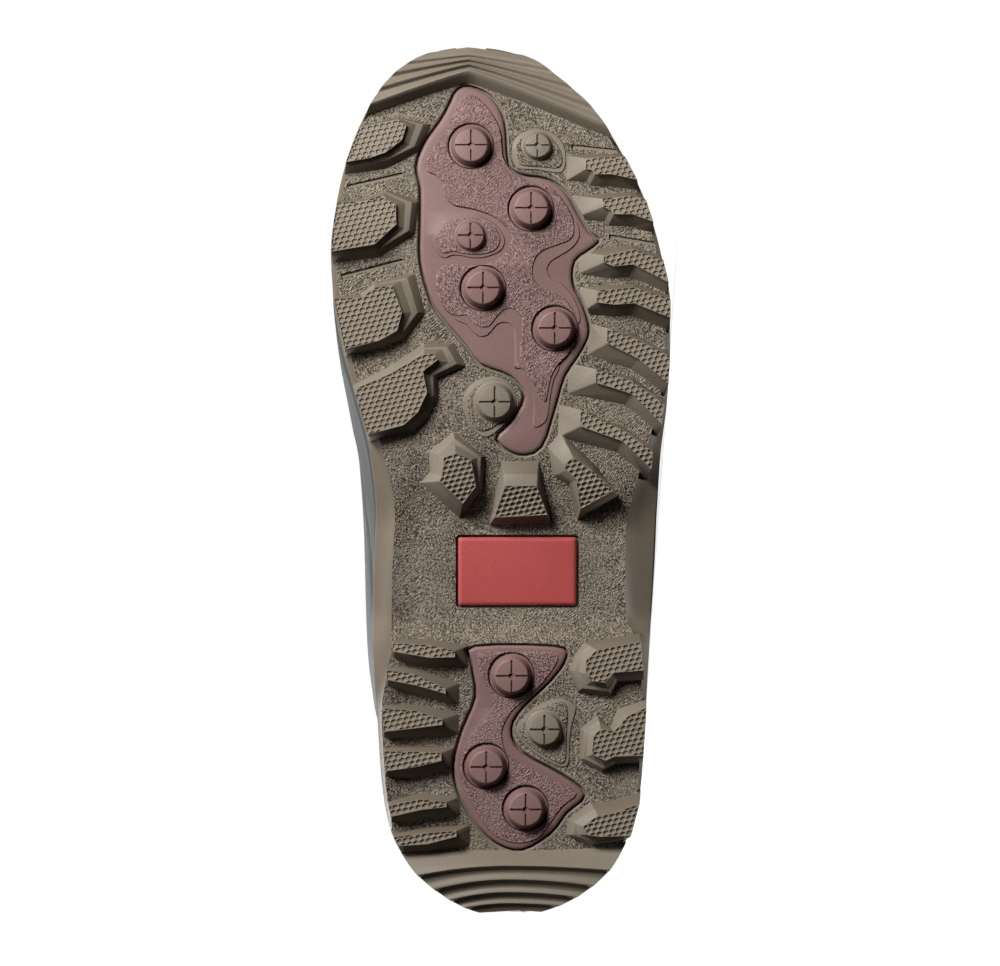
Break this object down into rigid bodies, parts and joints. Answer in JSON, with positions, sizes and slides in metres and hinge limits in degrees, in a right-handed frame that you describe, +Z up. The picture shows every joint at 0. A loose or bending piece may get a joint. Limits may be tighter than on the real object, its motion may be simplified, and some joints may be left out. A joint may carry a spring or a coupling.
{
  "type": "rubber boot",
  "caption": "Left pull-on rubber boot with a hollow upper and a lugged sole with soft inlays, round grip studs and a waist plate, lying on its outer side.",
  "frame": {"origin": "on the floor under the middle of the boot's box, as it lies on its outer side", "axes": "+X towards the toe, +Y up the shaft from the sole to the collar, +Z up, from the boot's outer side to its inner side"},
  "size_m": [0.311, 0.3648, 0.1238],
  "materials": {
    "slate_rubber": "dark slate moulded rubber, satin",
    "taupe_rubber": "taupe moulded rubber, fine grain and smooth lug walls",
    "mauve_rubber": "mauve soft rubber inlay, fine grain with smooth terraces",
    "maroon_rubber": "maroon soft rubber, satin",
    "red_rubber": "red rubber plate, satin, bare",
    "footbed_cloth": "dark woven footbed cover"
  },
  "bodies": {
    "root": {"upper": "slate_rubber", "outsole": "taupe_rubber", "insole": "footbed_cloth", "forefoot_pad": "mauve_rubber", "heel_pad": "mauve_rubber", "forefoot_stud_1": "maroon_rubber", "forefoot_stud_2": "maroon_rubber", "forefoot_stud_3": "maroon_rubber", "forefoot_stud_4": "maroon_rubber", "heel_stud_1": "maroon_rubber", "heel_stud_2": "maroon_rubber", "heel_stud_3": "maroon_rubber", "waist_plate": "red_rubber"}
  },
  "joints": []
}
